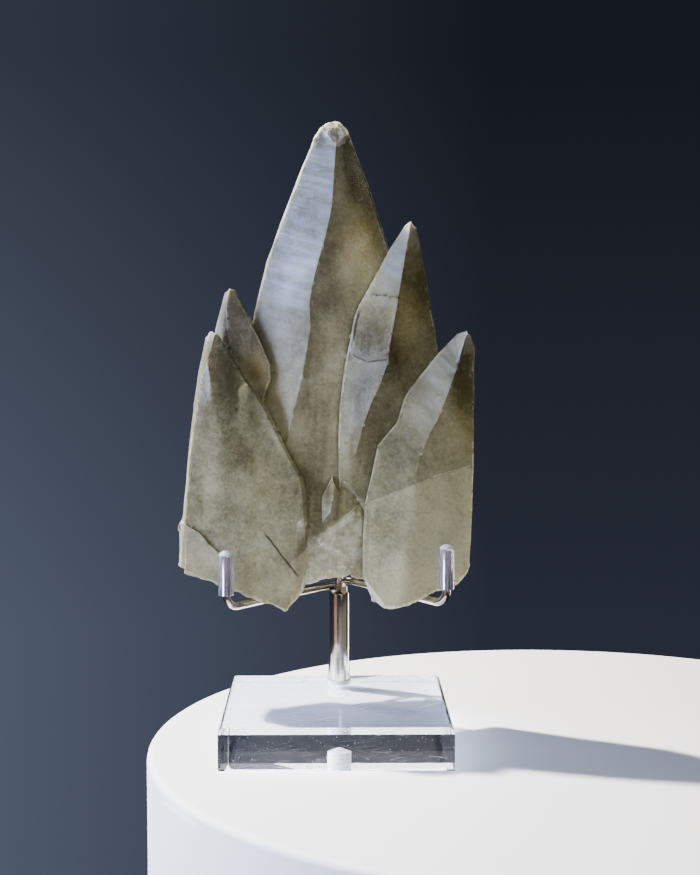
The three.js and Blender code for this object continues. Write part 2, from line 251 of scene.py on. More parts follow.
# %% Acrylic materials
SCRATCH_LENGTH, SCRATCH_WIDTH = 26 * MM, 0.3 * MM
SCRATCH_TURNS_AND_CRESTS = [((0, 0.1, 0.02), 0.79), ((0, -0.3, 0.02), 0.8), ((0, 0.02, 0.6), 0.76)]


def clear_acrylic():
    material = new_material("cast_acrylic_polished")
    add = partial(node, material.node_tree)
    place = add("TexCoord").outputs["Object"]
    scratches = []
    for turn, crest in SCRATCH_TURNS_AND_CRESTS:
        lines = add("Mapping", {
            "Vector": place, "Rotation": turn,
            "Scale": (SCRATCH_LENGTH, SCRATCH_WIDTH, SCRATCH_WIDTH)}, vector_type="TEXTURE")
        hair = add("TexNoise", {"Vector": lines, "Scale": 1.0, "Detail": 0.0})
        scratches.append(add("MapRange", hair, crest, crest + 0.06))
    scratch = add("Math", scratches[0], scratches[1], operation="MAXIMUM")
    scratch = add("Math", scratch, scratches[2], operation="MAXIMUM")
    dulled = add("MapRange", {"Value": scratch, "To Min": 0.0, "To Max": 0.3})
    bump = add("Bump", {"Height": scratch, "Strength": 0.3, "Distance": 0.02 * MM})
    add("OutputMaterial", add("BsdfPrincipled", {
        "Base Color": linear("#ECF2FE"), "Roughness": dulled, "IOR": 1.49,
        "Transmission Weight": 1.0, "Normal": bump}))
    return material


def drilled_acrylic():
    material = new_material("acrylic_drilled_frosted")
    add = partial(node, material.node_tree)
    rings = add("TexWave", {"Vector": add("TexCoord").outputs["Object"], "Scale": 260.0,
                            "Distortion": 3.0, "Detail": 3.0}, bands_direction="Z").outputs["Fac"]
    bump = add("Bump", {"Height": rings, "Strength": 0.5, "Distance": 0.05 * MM})
    tone = add("MixRGB", rings, linear("#E4E8EA"), linear("#FAFBFB"))
    add("OutputMaterial", add("BsdfPrincipled", {
        "Base Color": tone, "Roughness": 0.75, "IOR": 1.49,
        "Transmission Weight": 0.15, "Normal": bump}))
    return material


# %% Put both on the block
BIG_FACE = 60 * MM * MM


def in_hole(face):
    across = (face.center.xy - POST_AXIS).length
    return across < HOLE_RADIUS + 0.01 * MM and HOLE_TIP - 1e-6 < face.center.z < BASE_HIGH.z - 1e-6


block.data.materials.append(clear_acrylic())
block.data.materials.append(drilled_acrylic())
pick(block, "FACE", in_hole)
block.active_material_index = 1
bpy.ops.object.material_slot_assign()
bpy.ops.object.mode_set(mode="OBJECT")
smooth_by_angle(block, 25)
pick(block, "FACE", lambda f: f.area > BIG_FACE)
bpy.ops.mesh.faces_shade_flat()
bpy.ops.object.mode_set(mode="OBJECT")
finish(block, "acrylic_base")
block.visible_shadow = False

# %% [markdown]
# ## The post
#
# The post is a short length of quarter-inch steel tube, plated bright. Its top edge is deburred, and
# the rods come out of its open mouth, so it has to be a real tube: a cylinder with no ends is given
# its wall by Solidify, and the rims get a small bevel.

# %% Post
POST_BORE_RADIUS = 2.82 * MM


def steel_tube(low, high, bore_radius):
    radius = (high.x - low.x) / 2
    bpy.ops.mesh.primitive_cylinder_add(
        vertices=72, radius=radius, depth=high.z - low.z, location=(low + high) / 2,
        end_fill_type="NOTHING")
    piece = bpy.context.object
    bpy.ops.object.transform_apply(location=True)
    apply_modifier(piece, "SOLIDIFY", thickness=radius - bore_radius, offset=-1)
    apply_modifier(piece, "BEVEL", width=0.12 * MM, segments=3, limit_method="ANGLE",
                   angle_limit=math.radians(60))
    smooth_by_angle(piece, 35)
    return piece


post = steel_tube(POST_LOW, POST_HIGH, POST_BORE_RADIUS)
print("post radius", round(POST_RADIUS / MM, 3), "mm")

# %% [markdown]
# ## The rods
#
# Each rod is a 3/32 inch steel wire. The two arms leave the tube, bend over, run out and forwards
# under the specimen and turn up in front of it as hooks; the third rod goes straight up behind. On
# the bench each would be bent from one straight wire, and that is how it is modelled: a circle is
# extruded along the straight runs, and spun about the centre of each bend.

# %% A bent rod
ROD_RADIUS = 3 / 64 * 25.4 * MM


def bend_at(before, corner, after, radius):
    """Start, end, centre, axis and angle of a round bend of that radius at a corner."""
    into = (before - corner).normalized()
    away = (after - corner).normalized()
    half = into.angle(away) / 2
    start = corner + into * (radius / math.tan(half))
    end = corner + away * (radius / math.tan(half))
    centre = corner + (into + away).normalized() * (radius / math.sin(half))
    axis = (start - centre).cross(end - centre).normalized()
    return start, end, centre, axis, (start - centre).angle(end - centre)


def rod(corners, radii):
    bpy.ops.mesh.primitive_circle_add(
        vertices=24, radius=ROD_RADIUS, fill_type="NGON", location=corners[0])
    piece = bpy.context.object
    bpy.ops.object.transform_apply(location=True)
    bpy.ops.object.mode_set(mode="EDIT")
    bpy.ops.mesh.select_mode(type="FACE")
    bpy.ops.mesh.select_all(action="SELECT")
    here = corners[0]
    for i, radius in enumerate(radii):
        start, end, centre, axis, angle = bend_at(corners[i], corners[i + 1], corners[i + 2], radius)
        bpy.ops.mesh.extrude_region_move(TRANSFORM_OT_translate={"value": start - here})
        bpy.ops.mesh.spin(steps=12, angle=angle, center=centre, axis=-axis)
        here = end
    bpy.ops.mesh.extrude_region_move(TRANSFORM_OT_translate={"value": corners[-1] - here})
    bpy.ops.object.mode_set(mode="OBJECT")
    tidy_mesh(piece)
    smooth_by_angle(piece, 35)
    return piece


# %% The two arms and the back rod
ROD_NEST = 1.5 * MM
ROD_FOOT = 20 * MM
UPPER_BEND, LOWER_BEND = 2.2 * MM, 4 * MM
CAP_LENGTH = 12.8 * MM
CAP_CEILING = 1.3 * MM


def cap_foot(tip):
    low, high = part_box(tip)
    return Vector(((low.x + high.x) / 2, (low.y + high.y) / 2, low.z))


def nest(turn):
    """Where a rod stands in the tube: three of them share the bore, each on its own side."""
    angle = math.radians(turn)
    return POST_AXIS + ROD_NEST * Vector((math.cos(angle), math.sin(angle)))


def hooked_arm(tip, turn, bend_height, low_height):
    root = nest(turn)
    hook = cap_foot(tip)
    top = hook.z + CAP_LENGTH - CAP_CEILING
    return rod([Vector((*root, ROD_FOOT)), Vector((*root, bend_height)),
                Vector((hook.x, hook.y, low_height)), Vector((hook.x, hook.y, top))],
               [UPPER_BEND, LOWER_BEND])


left_arm = hooked_arm("left_tip", turn=210, bend_height=40.6 * MM, low_height=39.2 * MM)
right_arm = hooked_arm("right_tip", turn=-30, bend_height=42.2 * MM, low_height=40.0 * MM)
back_top = cap_foot("back_tip").z + CAP_LENGTH - CAP_CEILING
back_rod = rod([Vector((*nest(90), ROD_FOOT)), Vector((*nest(90), back_top))], [])
print("rods:", [len(p.data.polygons) for p in (left_arm, right_arm, back_rod)])

# %% [markdown]
# Bright nickel plate is a warm white metal. Drawn tube and wire keep faint lines along their length
# under the plating, and handling leaves a little haze, so the roughness drifts between 0.12 and 0.2
# over a few millimetres, and a very fine noise stretched along the height stands for the draw lines.

# %% Nickel plate
def nickel_plate():
    material = new_material("nickel_plated_steel")
    add = partial(node, material.node_tree)
    place = add("TexCoord").outputs["Object"]
    stretched = add("Mapping", {"Vector": place, "Scale": (4000, 4000, 120)})
    draw_lines = add("TexNoise", {"Vector": stretched, "Scale": 1.0, "Detail": 2.0})
    haze = add("TexNoise", {"Vector": place, "Scale": 350.0, "Detail": 3.0})
    rough = add("MapRange", haze, 0.3, 0.7, 0.12, 0.2)
    bump = add("Bump", {"Height": draw_lines, "Strength": 0.12, "Distance": 0.01 * MM})
    tone = add("MixRGB", haze, linear("#CDC5B9"), linear("#D6CFC5"))
    add("OutputMaterial", add("BsdfPrincipled", {
        "Base Color": tone, "Metallic": 1.0, "Roughness": rough, "Normal": bump}))
    return material


plate = nickel_plate()
for piece, name in ((post, "post"), (left_arm, "left_arm"), (right_arm, "right_arm"),
                    (back_rod, "back_rod")):
    piece.data.materials.append(plate)
    finish(piece, name)

# %% [markdown]
# ## The vinyl caps
#
# A dip-moulded vinyl cap is pushed over the end of each rod, so that steel never touches the
# crystal. It is a clear sleeve with a round closed top, and the rod shows inside it. A cylinder is
# opened from below by an inset and an extrusion, and its top rim is bevelled until it is a dome.

# %% Vinyl caps
CAP_PLAY = 0.12 * MM
CAP_END = 1.0 * MM


def rim_at(cap, edge, height):
    return all(abs(cap.data.vertices[i].co.z - height) < 1e-6 for i in edge.vertices)


def vinyl_cap(name):
    low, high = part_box(name)
    radius = (high.x - low.x) / 2
    bpy.ops.mesh.primitive_cylinder_add(
        vertices=48, radius=radius, depth=high.z - low.z, location=(low + high) / 2)
    cap = bpy.context.object
    bpy.ops.object.transform_apply(location=True)
    pick(cap, "FACE", lambda f: f.normal.z < -0.9)
    bpy.ops.mesh.inset(thickness=radius - ROD_RADIUS - CAP_PLAY)
    bpy.ops.mesh.extrude_region_move(
        TRANSFORM_OT_translate={"value": (0, 0, CAP_LENGTH - CAP_END)})
    bpy.ops.object.mode_set(mode="OBJECT")
    for height, offset, segments in ((high.z, radius * 0.97, 14), (low.z, 0.15 * MM, 3)):
        pick(cap, "EDGE", lambda e: rim_at(cap, e, height))
        bpy.ops.mesh.bevel(offset=offset, segments=segments, affect="EDGES", clamp_overlap=True)
        bpy.ops.object.mode_set(mode="OBJECT")
    tidy_mesh(cap)
    smooth_by_angle(cap, 40)
    return cap


# %% [markdown]
# Soft vinyl is clear with a faint violet cast, and its index is about 1.53. Dipping leaves it a little
# wavy, and the liquid gathers at the closed end, which is thicker, paler and cloudier than the sleeve.
# That end is found by where the surface looks up, and its pale colour also stands for a painted
# highlight of the light from above.

# %% Vinyl material
def clear_vinyl():
    material = new_material("vinyl_dip_moulded")
    add = partial(node, material.node_tree)
    place = add("TexCoord").outputs["Object"]
    ripple = add("TexNoise", {"Vector": place, "Scale": 500.0, "Detail": 2.0})
    bump = add("Bump", {"Height": ripple, "Strength": 0.2, "Distance": 0.05 * MM})
    looks_up = add("SeparateXYZ", add("NewGeometry").outputs["Normal"]).outputs["Z"]
    # Paler and less clear where the surface looks up: the thicker closed end, and a painted highlight of
    # the light from above.
    closed_end_and_highlight = add("MapRange", looks_up, 0.15, 0.6)
    sleeve_tone = add("MixRGB", ripple, linear("#E6E3F8"), linear("#F3F0FB"))
    add("OutputMaterial", add("BsdfPrincipled", {
        "Base Color": add("MixRGB", closed_end_and_highlight, sleeve_tone, linear("#FAFAFD")),
        "Roughness": 0.08, "IOR": 1.53, "Normal": bump,
        "Transmission Weight": add("MapRange", {"Value": closed_end_and_highlight, "To Min": 0.96, "To Max": 0.45})}))
    return material


vinyl = clear_vinyl()
for name in ("left_tip", "right_tip", "back_tip"):
    cap = vinyl_cap(name)
    cap.data.materials.append(vinyl)
    finish(cap, name)
    cap.visible_shadow = False

# %% [markdown]
# ## The calcite
#
# The specimen is one piece of stone: five bladed crystals that grew side by side from one root, with
# sharp ridges, nearly flat faces and broken ends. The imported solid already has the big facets, but
# its faces are long flat triangles with shallow folds between them, where the real faces are one
# smooth sweep. Cutting those triangles finer would keep the folds, and smoothing them all would melt
# the ridges. So the mesh is copied, welded and remeshed into small even squares. Points beside a
# sharp ridge or groove of the solid are laid exactly on it, squares that it crosses are cut along
# it, and then only the other points are smoothed, which leaves the ridges crisp.

# %% Calcite: measure a mesh with arrays
def array_of(items, name, width, kind=float):
    values = np.empty(len(items) * width, kind)
    items.foreach_get(name, values)
    return values.reshape(-1, width) if width > 1 else values


def measured(mesh):
    """A mesh as arrays: points, the ends of its edges, the faces beside them, and their turns.

    The turn is the angle between an edge's two faces: above 0 on a ridge, below 0 in a groove."""
    points = array_of(mesh.vertices, "co", 3)
    ends = array_of(mesh.edges, "vertices", 2, int)
    normals = array_of(mesh.polygons, "normal", 3)
    centres = array_of(mesh.polygons, "center", 3)
    edge_of_corner = array_of(mesh.loops, "edge_index", 1, int)
    face_of_corner = np.repeat(
        np.arange(len(mesh.polygons)), array_of(mesh.polygons, "loop_total", 1, int))
    order = np.argsort(edge_of_corner, kind="stable")
    first = np.searchsorted(edge_of_corner[order], np.arange(len(mesh.edges)))
    one = face_of_corner[order][first]
    two = face_of_corner[order][np.minimum(first + 1, len(order) - 1)]
    turns = np.degrees(np.arccos(np.clip((normals[one] * normals[two]).sum(1), -1, 1)))
    grooves = ((centres[two] - centres[one]) * normals[one]).sum(1) > 0
    return SimpleNamespace(
        points=points, ends=ends, beside=(one, two), turns=np.where(grooves, -turns, turns),
        normals=normals, centres=centres)


def on_edges(shape, chosen):
    marked = np.zeros(len(shape.points), bool)
    marked[shape.ends[chosen]] = True
    return marked


def nearness(shape, marked, reach):
    """1 at the marked points, falling smoothly to 0 along the surface beyond reach."""
    one, two = shape.ends[:, 0], shape.ends[:, 1]
    lengths = np.linalg.norm(shape.points[one] - shape.points[two], axis=1)
    away = np.where(marked, 0.0, 1.0)
    for _ in range(12):
        np.minimum.at(away, two, away[one] + lengths)
        np.minimum.at(away, one, away[two] + lengths)
    return np.exp(-(away / reach) ** 2)


def inside_box(points, low, high):
    return ((points > np.array(low)) & (points < np.array(high))).all(axis=1)


# %% [markdown]
# An edge of the solid counts as sharp when its faces turn by more than 17 degrees. Two kinds of
# sharp edge are let go: the ridge of the right blade fades out in its lower half, and the small
# steps round a healed patch on the second blade would look cut with a knife.

# %% Calcite: copy the solid, weld it and remesh it
RIDGE_TURN = 17
FADING_TURN = 45
FADING_LOW, FADING_HIGH = Vector((13, -40, 36)) * MM, Vector((37, 0, 77)) * MM
PATCH_EDGE = 3.6 * MM
PATCH_LOW, PATCH_HIGH = Vector((4, -3, 107)) * MM, Vector((15, 5, 128)) * MM

calcite = bpy.data.objects.new("calcite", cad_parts["calcite_cluster"].data.copy())
calcite.data.materials.clear()
bpy.context.scene.collection.objects.link(calcite)
tidy_mesh(calcite)
solid = measured(calcite.data)
edge_lines = solid.points[solid.ends]
middles = edge_lines.mean(axis=1)
short = np.linalg.norm(edge_lines[:, 0] - edge_lines[:, 1], axis=1) < PATCH_EDGE
fading = inside_box(middles, FADING_LOW, FADING_HIGH) & (np.abs(solid.turns) < FADING_TURN)
patch_rim = inside_box(middles, PATCH_LOW, PATCH_HIGH) & short
sharp_lines = edge_lines[(np.abs(solid.turns) > RIDGE_TURN) & ~fading & ~patch_rim]
print("welded:", len(solid.points), "points;", len(sharp_lines), "sharp edges kept")
apply_modifier(calcite, "REMESH", mode="SHARP", octree_depth=8, scale=0.95, sharpness=1.0)
print("remeshed:", len(calcite.data.polygons), "faces")

# %% Calcite: lay the new mesh exactly on the old ridges
SNAP = 0.3 * MM
points = array_of(calcite.data.vertices, "co", 3)
off_line, foot = np.full(len(points), 1.0), points.copy()
for start, end in sharp_lines:
    low, high = np.minimum(start, end) - MM, np.maximum(start, end) + MM
    beside = np.nonzero(inside_box(points, low, high))[0]
    along = end - start
    share = np.clip(((points[beside] - start) @ along) / (along @ along), 0, 1)
    on_it = start + share[:, None] * along
    away = np.linalg.norm(points[beside] - on_it, axis=1)
    closer = away < off_line[beside]
    off_line[beside[closer]] = away[closer]
    foot[beside[closer]] = on_it[closer]
on_line = off_line < SNAP
points[on_line] = foot[on_line]
calcite.data.vertices.foreach_set("co", points.ravel())
calcite.data.update()
print("laid on ridges and grooves:", on_line.sum(), "points")

# %% Calcite: cut the squares that a ridge crosses from corner to corner
for method, ends, others in (("FIXED", (0, 2), (1, 3)), ("FIXED_ALTERNATE", (1, 3), (0, 2))):
    first = array_of(calcite.data.polygons, "loop_start", 1, int)
    four = array_of(calcite.data.polygons, "loop_total", 1, int) == 4
    near = np.append(on_line[array_of(calcite.data.loops, "vertex_index", 1, int)], [False] * 3)
    crossed = four & near[first + ends[0]] & near[first + ends[1]]
    crossed &= ~(near[first + others[0]] | near[first + others[1]])
    select_parts(calcite, "FACE", crossed)
    bpy.ops.mesh.quads_convert_to_tris(quad_method=method, ngon_method="BEAUTY")
    bpy.ops.object.mode_set(mode="OBJECT")
    print("cut along a ridge:", crossed.sum(), "faces")

# %% Calcite: melt the shallow folds, a sliver at the tip and a fused joint at the root
SLIVER_START, SLIVER_END = Vector((4, 8.8, 155)) * MM, Vector((2.2, 10.7, 173)) * MM
SLIVER_REACH = 1.1 * MM
SLIVER_BACK = 12 * MM
FUSED_LOW, FUSED_HIGH = Vector((-14, -4, 38)) * MM, Vector((-4, 3.5, 62)) * MM
SMOOTHING_ROUNDS = 40


def away_from_line(points, start, end):
    along = np.array(end) - np.array(start)
    share = np.clip(((points - np.array(start)) @ along) / (along @ along), 0, 1)
    return np.linalg.norm(points - (np.array(start) + share[:, None] * along), axis=1)


def smooth_points(piece, mask):
    select_parts(piece, "VERT", mask)
    bpy.ops.mesh.vertices_smooth(factor=0.5, repeat=SMOOTHING_ROUNDS)
    bpy.ops.object.mode_set(mode="OBJECT")


sliver = away_from_line(points, SLIVER_START, SLIVER_END) < SLIVER_REACH
sliver &= points[:, 1] < SLIVER_BACK
fused = inside_box(points, FUSED_LOW, FUSED_HIGH)
smooth_points(calcite, fused)
smooth_points(calcite, ~on_line | sliver | fused)
print("kept still:", (on_line & ~sliver & ~fused).sum(), "of", len(on_line))

# %% [markdown]
# Three places are broken, not grown. The foot is where the cluster was pulled from its rock: rough,
# with small cleavage steps. The tall crystal lost its tip, and a piece broke out of the front
# between the two big blades, which left a flat scar. Each is found by where it is and which way it
# faces. Masks that fade from 1 to 0 then say how near each point is to an edge, a groove or a break.

# %% Calcite: find the ridges and the broken places
THIN_EDGE_TURN = 60
FOOT_TOP = 60 * MM
TIP_BREAK_Z = 170.5 * MM
SCAR_POINT = Vector((-12.8, 1, 52.1)) * MM
SCAR_NORMAL = (Vector((4, 9, 44)) * MM - SCAR_POINT).cross(
    Vector((7.8, 1, 68.3)) * MM - SCAR_POINT).normalized()
SCAR_LEFT, SCAR_RIGHT, SCAR_TOP = -11 * MM, 14 * MM, 69 * MM


def broken_faces(shape):
    x, z, facing_up = shape.centres[:, 0], shape.centres[:, 2], shape.normals[:, 2]
    foot = (facing_up < -0.45) & (z < FOOT_TOP)
    tip = (z > TIP_BREAK_Z) & (facing_up > 0.33)
    off_plane = np.abs((shape.centres - np.array(SCAR_POINT)) @ np.array(SCAR_NORMAL))
    flat_on = np.abs(shape.normals @ np.array(SCAR_NORMAL)) > 0.9
    scar = (off_plane < 0.6 * MM) & flat_on & (x > SCAR_LEFT) & (x < SCAR_RIGHT) & (z < SCAR_TOP)
    return foot | tip, scar


def points_of(mesh, chosen_faces):
    corners = array_of(mesh.loops, "vertex_index", 1, int)
    totals = array_of(mesh.polygons, "loop_total", 1, int)
    marked = np.zeros(len(mesh.vertices), bool)
    marked[corners[np.repeat(chosen_faces, totals)]] = True
    return marked


shape = measured(calcite.data)
ridge = on_edges(shape, shape.turns > RIDGE_TURN)
groove = on_edges(shape, shape.turns < -RIDGE_TURN)
broken, scar = (points_of(calcite.data, faces) for faces in broken_faces(shape))
thin_edge = on_edges(shape, shape.turns > THIN_EDGE_TURN)
edge_mask = nearness(shape, thin_edge, 0.5 * MM)
scar_mask = nearness(shape, scar, 0.4 * MM)
groove_shade_mask = nearness(shape, groove, 0.5 * MM)
break_mask = nearness(shape, broken, 0.8 * MM)
face_mask = (1 - nearness(shape, ridge | groove, 2.5 * MM)) * (1 - break_mask)
print("points on ridges, in grooves, on breaks:", ridge.sum(), groove.sum(), broken.sum())

# %% [markdown]
# Where the stone is milky and where it is clear is part of its growth, so it belongs to places on the
# specimen. Each soft spot below is a stretched blot in the front view, in millimetres: its centre, its
# half width and half height, how many degrees its top leans to the right, and how much it adds. In
# VEILS, spots above 0 are milky and spots below 0 are clear, and so look dark. Where they add up below
# -0.8, which is only on the left crystal, the colour is also painted dark. This is painted shade
# standing in for the dark surround seen through the stone.
# WARM_ZONES are stained by iron. The faces that look to the left were etched more than the others and
# are frosted, by as much as FROST_AND_SHEEN says; their pale, bluish colour is also a painted sheen that
# stands in for the cool light from the left. TIPS are the white points of the crystals, partly worn and
# partly a painted highlight of light shining through the thin stone. All of these are kept as attributes
# on the mesh, where the material reads them.

# %% Calcite: tables of soft spots
VEILS = [
    (-31, 104, 5, 13, -12, -0.55), (-35.5, 77, 2.6, 11, 3, 0.5), (-25.5, 82, 3.2, 3, 0, -0.45),
    (-17.5, 84, 3, 13, -28, -0.3), (-27, 63, 5, 8, 0, -0.1), (-40, 52, 4, 6, 0, 0.25),
    (-27, 117, 5, 11, -20, -1.6), (-22, 108, 4, 5, -20, 0.15), (-20, 96, 4, 6, 0, 0.1),
    (-14, 122, 5, 14, 14, 0.35), (-9.5, 150, 3, 5, 10, -0.15), (-15, 95, 5, 9, 0, 0.5),
    (5, 163, 3, 9, -8, -0.8), (10.5, 149, 2.5, 8, -15, -0.6), (8, 134, 5, 12, -12, 0.4),
    (0, 112, 5, 12, 0, 0.2), (10.5, 117, 4, 6, 0, -0.6), (7, 98, 4, 10, 0, -0.4),
    (21, 86, 4, 8, 30, -0.35), (16, 133, 3, 6, 10, 0.1), (24.5, 131, 2.5, 9, -10, -0.25),
    (20, 119, 3.5, 7, 0, 0.1), (18, 110, 4, 4, 30, -0.4), (12, 90, 4, 7, 20, -0.15),
    (22, 92, 5, 9, 20, 0.25), (36, 101, 3, 8, 0, -0.8), (17, 97, 5, 9, 0, 0.05),
    (-27, 79, 8, 11, 0, 0.15), (30, 62, 8, 9, 0, 0.25), (24, 50, 8, 7, 0, 0.2),
    (16, 62, 4, 12, 0, -0.3), (1, 58, 5, 4, 30, 0.3), (5, 47, 3, 4, 0, -0.3),
    (-15, 44, 6, 3, 0, 0.2), (-14, 86, 4, 7, 0, 0.4), (0, 109, 5, 8, 0, 0.45),
    (3, 162, 2.5, 7, -8, 0.2), (-32, 57, 5, 5, 0, 0.25), (23, 136, 2.5, 6, -10, 0.2),
]
WARM_ZONES = [
    (8, 137, 5.5, 13, -12, 1.0), (20, 119, 4, 9, -8, 0.6), (-22, 106, 4, 6, -20, 0.5),
    (1, 90, 5, 16, 0, 0.35), (35, 89, 4, 7, 0, 0.45), (-20, 70, 7, 10, 0, 0.3),
]
# How much frost, and painted sheen of the cool light from the left, each part of the left-looking faces
# gets.
FROST_AND_SHEEN = [
    (-5, 160, 7, 14, 16, 1.35), (-12, 136, 8, 18, 16, 1.15), (-18, 112, 5, 7, 12, 0.22),
    (18, 138, 5, 11, 14, 0.78), (11.5, 117, 5, 6, 0, 0.15), (13, 108, 4, 2.5, 0, 0.5),
    (6, 105, 3, 3, 0, 0.3), (8, 98, 5, 9, 0, 0.12), (32, 106, 6, 9, 28, 1.4),
    (24, 91, 4, 6, 30, 0.3), (-43, 85, 3, 30, 3, 0.6), (-33, 124, 2, 7, 10, 0.6),
    (-39, 112, 2.5, 7, 8, 0.6),
]
# White points of the crystals: partly worn, partly a painted highlight of light through the thin stone.
TIPS = [
    (20.8, 146, 2.0, 4, 0, 1.3), (36.8, 115.5, 2.2, 3.5, 10, 1.2),
    (-29.7, 128.5, 2.0, 3, 0, 1.0), (-34.9, 116, 2.0, 3, 0, 1.0),
]
print("soft spots:", [len(table) for table in (VEILS, WARM_ZONES, FROST_AND_SHEEN, TIPS)])


# %% Calcite: keep them on the mesh
def blots(points, table):
    total = np.zeros(len(points))
    for x, z, half_width, half_height, lean, amount in table:
        turn = math.radians(lean)
        across, up = points[:, 0] / MM - x, points[:, 2] / MM - z
        u = (across * math.cos(turn) - up * math.sin(turn)) / half_width
        v = (across * math.sin(turn) + up * math.cos(turn)) / half_height
        total += amount * np.exp(-(u * u + v * v) / 1.4)
    return total


def spread(shape, values, repeat):
    """Averages a value per face with the faces beside it, but never across a ridge or groove."""
    one, two = (side[np.abs(shape.turns) < RIDGE_TURN] for side in shape.beside)
    for _ in range(repeat):
        total, count = values.copy(), np.ones(len(values))
        np.add.at(total, one, values[two])
        np.add.at(total, two, values[one])
        np.add.at(count, one, 1)
        np.add.at(count, two, 1)
        values = total / count
    return values


def keep_attribute(name, values, domain="POINT"):
    attribute = calcite.data.attributes.new(name, "FLOAT", domain)
    attribute.data.foreach_set("value", np.clip(values, -2, 2).astype(np.float32))


# Painted sheen: faces that look to the left get a pale, bluish frost colour that stands in for the cool
# light from that side, besides their real frosting.
looking_left = np.clip((-shape.normals[:, 0] - 0.06) / 0.16, 0, 1)
frost_and_sheen = spread(shape, looking_left, 14) * np.clip(blots(shape.centres, FROST_AND_SHEEN), 0, 1)
keep_attribute("frost_and_sheen", frost_and_sheen, "FACE")
keep_attribute("veil", blots(shape.points, VEILS))
keep_attribute("warm", blots(shape.points, WARM_ZONES))
# The edge attribute holds thin edges and crystal points. Their white is partly wear and partly a painted
# highlight.
keep_attribute("edge", edge_mask + blots(shape.points, TIPS))
# Painted shade: nearness to a groove, which darkens the colour there as shade gathers in the crease.
keep_attribute("groove", groove_shade_mask)
keep_attribute("break", break_mask)
keep_attribute("scar", scar_mask)
print("attributes:", [a.name for a in calcite.data.attributes if a.data_type == "FLOAT"])

# %% [markdown]
# Reliefs are then pressed into the mesh, each with Displace and its own mask as a vertex group:
# long shallow waves on the faces, sparse chips along the thin edges, and on the breaks first steps
# of cleavage and then rough stone.

# %% Calcite: chips, waves and breaks
def mask_group(name, weights):
    group = calcite.vertex_groups.new(name=name)
    for i in np.nonzero(weights > 0.01)[0]:
        group.add([int(i)], float(weights[i]), "REPLACE")


def relief(name, kind, size, height, group, middle=0.5, **settings):
    texture = bpy.data.textures.new(name, kind)
    texture.noise_scale = size
    for key, value in settings.items():
        setattr(texture, key, value)
    apply_modifier(calcite, "DISPLACE", texture=texture, texture_coords="LOCAL",
                   strength=height, mid_level=middle, vertex_group=group)
    bpy.data.textures.remove(texture)


mask_group("faces", face_mask)
mask_group("edges", edge_mask * (1 - break_mask))
mask_group("breaks", np.maximum(break_mask, 0.6 * scar_mask))
relief("long_waves", "CLOUDS", 9 * MM, 0.45 * MM, "faces", noise_depth=1)
relief("edge_chips", "CLOUDS", 2.6 * MM, -0.08 * MM, "edges", middle=0.0, noise_depth=2,
       contrast=3, intensity=0.12)
relief("cleavage_steps", "VORONOI", 3.5 * MM, 0.7 * MM, "breaks", distance_metric="MANHATTAN")
relief("rough_stone", "CLOUDS", 1.6 * MM, 0.35 * MM, "breaks", noise_depth=2)
print("relief pressed in:", [group.name for group in calcite.vertex_groups])

# %% [markdown]
# The stone only rests on the rods, so where the rough foot has grown into one, its points are set
# back to a small gap. The faces are then shaded smooth up to the ridges. Fresh breaks stay flat,
# facet by facet, because broken calcite glitters in small flat faces.

# %% Calcite: keep the stone clear of the rods, and shade it
ROD_GAP = 0.2 * MM
NEAR_ROD = 2 * MM
FRESH = 0.6


def press_clear(stone, rod_piece):
    """Moves points of the stone that are in the rod, or too near it, straight out to the gap."""
    low, high = (Vector(rod_piece.bound_box[i]) for i in (0, 6))
    reach = Vector((NEAR_ROD,) * 3)
    points = array_of(stone.data.vertices, "co", 3)
    moved = []
    for i in np.nonzero(inside_box(points, low - reach, high + reach))[0]:
        point = Vector(points[i])
        found, near, outward, _ = rod_piece.closest_point_on_mesh(point, distance=NEAR_ROD)
        if found and (point - near).dot(outward) < ROD_GAP:
            points[i] = near + outward * ROD_GAP
            moved.append((Vector(points[i]) - point).length / MM)
    stone.data.vertices.foreach_set("co", points.ravel())
    stone.data.update()
    return moved


for piece in (left_arm, right_arm, back_rod):
    moved = press_clear(calcite, piece)
    print(f"pressed back from {piece.name}: {len(moved)} points, {max(moved, default=0):.2f} mm at most")
smooth_by_angle(calcite, 24)
fresh_points = np.maximum(break_mask, scar_mask) > FRESH
pick(calcite, "FACE", lambda f: all(fresh_points[i] for i in f.vertices))
bpy.ops.mesh.faces_shade_flat()
bpy.ops.object.mode_set(mode="OBJECT")

# %% [markdown]
# ## The stone's material
#
# Calcite is clear to milky, with an index of 1.66 to 1.49: 1.6 is a fair middle. Iron and clay in
# it give the olive and smoky tones. The faces are etched, so they have a satin gloss with fine
# growth lines, and inside are cloudy veils, cracks and grains. The shader is one see-through
# Principled surface over a plain absorbing volume, which gives thick parts depth. Everything that
# varies on it is worked out first, a cell at a time, from the place on the stone and the kept
# attributes.

# %% Calcite material: the place and the kept attributes
stone = new_material("calcite_etched_crystal")
add = partial(node, stone.node_tree)
place = add("TexCoord").outputs["Object"]
side, front, height = add("SeparateXYZ", place).outputs
kept = {name: add("Attribute", attribute_name=name).outputs["Fac"]
        for name in ("edge", "break", "frost_and_sheen", "veil", "warm", "groove", "scar")}
print("attributes read:", list(kept))

# %% [markdown]
# Growth lines cross each blade obliquely, about 2 mm apart and 30 mm long, and lean more on the
# right blades than on the left ones. Grain of 0.9 mm and mottling of 2.6 mm stand for the etched
# skin. The real grain is finer; it is drawn as coarse as it needs to show.

